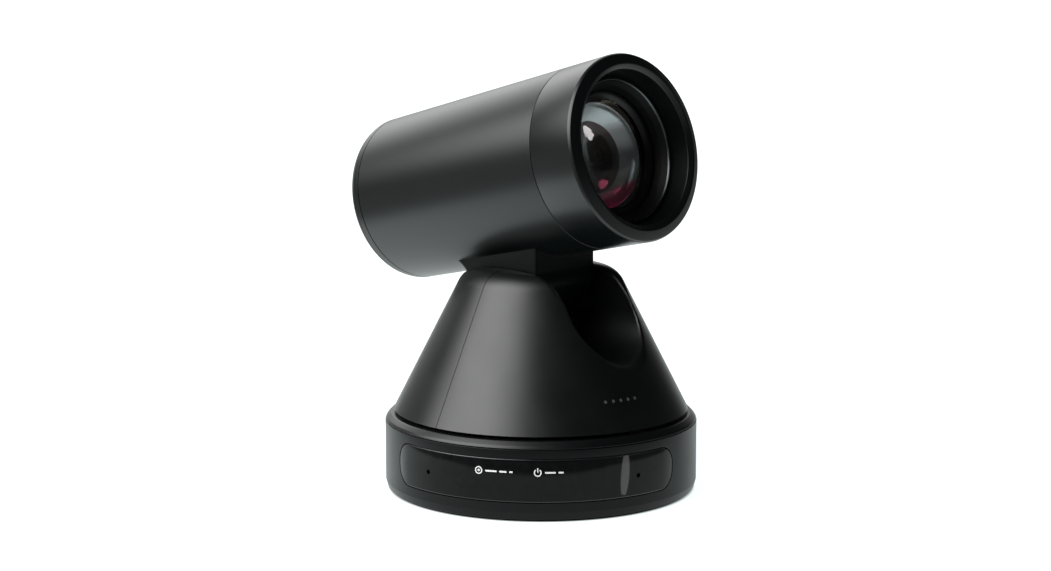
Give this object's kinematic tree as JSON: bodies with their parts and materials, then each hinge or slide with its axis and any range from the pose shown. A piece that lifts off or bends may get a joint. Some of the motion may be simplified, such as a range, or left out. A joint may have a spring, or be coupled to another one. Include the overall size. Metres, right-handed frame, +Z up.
{
  "type": "pan-tilt-zoom camera",
  "caption": "Desktop pan-tilt-zoom camera: a round base with a smoked window, a turning cone turret and a tapered barrel head on a tilting neck.",
  "frame": {"origin": "centre of the mouth of the tripod socket, on the underside of the base", "axes": "+Z up along the pan axis, -Y out through the middle of the base's front window; the head is stored turned 50.5 degrees towards +X and raised 12.9 degrees"},
  "size_m": [0.1342, 0.1284, 0.1648],
  "materials": {
    "body_plastic": "satin, fine grain",
    "cover_plastic": "satin, fine grain",
    "neck_plastic": "satin, fine grain",
    "window_plastic": "polished smoked window",
    "plate_steel": "zinc-plated sheet",
    "plate_aluminium": "die cast",
    "foot_rubber": "matte",
    "brass_part": "turned",
    "screw_steel": "black zinc",
    "circuit_board": "solder mask",
    "ir_plastic": "dark moulded",
    "light_pipe": "clear moulded",
    "socket_plastic": "moulded",
    "socket_metal": "nickel plated",
    "gear_plastic": "acetal",
    "motor_steel": "plated can",
    "barrel_paint": "satin dark anodised",
    "bezel_paint": "satin dark anodised",
    "hood_plastic": "matte black",
    "ring_metal": "black anodised",
    "inner_metal": "satin",
    "front_glass": "coated optical glass",
    "rear_glass": "coated optical glass"
  },
  "bodies": {
    "base": {"base_shell": "body_plastic", "base_top": "body_plastic", "front_window": "window_plastic", "bottom_plate": "plate_steel", "rubber_feet": "foot_rubber", "tripod_socket": "brass_part", "base_screws": "screw_steel", "main_board": "circuit_board", "ir_receiver": "ir_plastic", "status_lights": "light_pipe", "microphones": "screw_steel", "power_inlet": "socket_plastic", "usb_socket": "socket_metal", "serial_socket": "socket_plastic", "pan_spindle": "plate_steel", "pan_gear": "gear_plastic", "spindle_clip": "screw_steel"},
    "turret": {"turret_plate": "plate_aluminium", "front_cover": "cover_plastic", "rear_cover": "cover_plastic", "left_yoke": "plate_steel", "right_yoke": "plate_steel", "tilt_bushes": "brass_part", "pan_motor": "motor_steel", "tilt_motor": "motor_steel", "drive_board": "circuit_board", "cover_screws": "screw_steel"},
    "pan_drive": {"pan_pinion": "brass_part"},
    "tilt_drive": {"tilt_pinion": "brass_part"},
    "head": {"neck": "neck_plastic", "tilt_axle": "screw_steel", "tilt_gear": "gear_plastic", "barrel_shell": "barrel_paint", "front_bezel": "bezel_paint", "rear_cap": "barrel_paint", "lens_hood": "hood_plastic", "retaining_ring": "ring_metal", "front_lens": "front_glass", "lens_tube": "hood_plastic", "lens_mount": "plate_aluminium", "inner_ring": "inner_metal", "second_lens": "rear_glass", "guide_rods": "screw_steel", "iris_plate": "hood_plastic", "sensor_board": "circuit_board", "head_board": "circuit_board", "cap_screws": "screw_steel"},
    "zoom_group": {"zoom_carriage": "hood_plastic", "zoom_lens": "rear_glass"},
    "focus_group": {"focus_carriage": "hood_plastic", "focus_lens": "rear_glass"}
  },
  "joints": [
    {"name": "pan", "type": "hinge", "parent": "base", "child": "turret", "pos_m": [0, 0, 0.04], "axis": [0, 0, 1], "range_deg": [-220.5, 119.5]},
    {"name": "tilt", "type": "hinge", "parent": "turret", "child": "head", "pos_m": [0, 0, 0.0614], "axis": [-0.6361, -0.7716, 0], "range_deg": [-42.9, 17.1]},
    {"name": "pan_pinion_spin", "type": "hinge", "parent": "turret", "child": "pan_drive", "pos_m": [-0.02624, 0.02163, 0.03], "axis": [0, 0, 1], "range_deg": [-1030, 558]},
    {"name": "tilt_pinion_spin", "type": "hinge", "parent": "turret", "child": "tilt_drive", "pos_m": [0, 0, 0.0454], "axis": [-0.6361, -0.7716, 0], "range_deg": [-41, 101]},
    {"name": "zoom", "type": "slide", "parent": "head", "child": "zoom_group", "axis": [0.7521, -0.62, 0.2233], "range_m": [-0.009, 0.009]},
    {"name": "focus", "type": "slide", "parent": "head", "child": "focus_group", "axis": [0.7521, -0.62, 0.2233], "range_m": [-0.007, 0.005]}
  ],
  "couplings": [
    {"joint": "pan_pinion_spin", "follows": "pan", "ratio": 4.6667},
    {"joint": "tilt_pinion_spin", "follows": "tilt", "ratio": -2.3333}
  ]
}
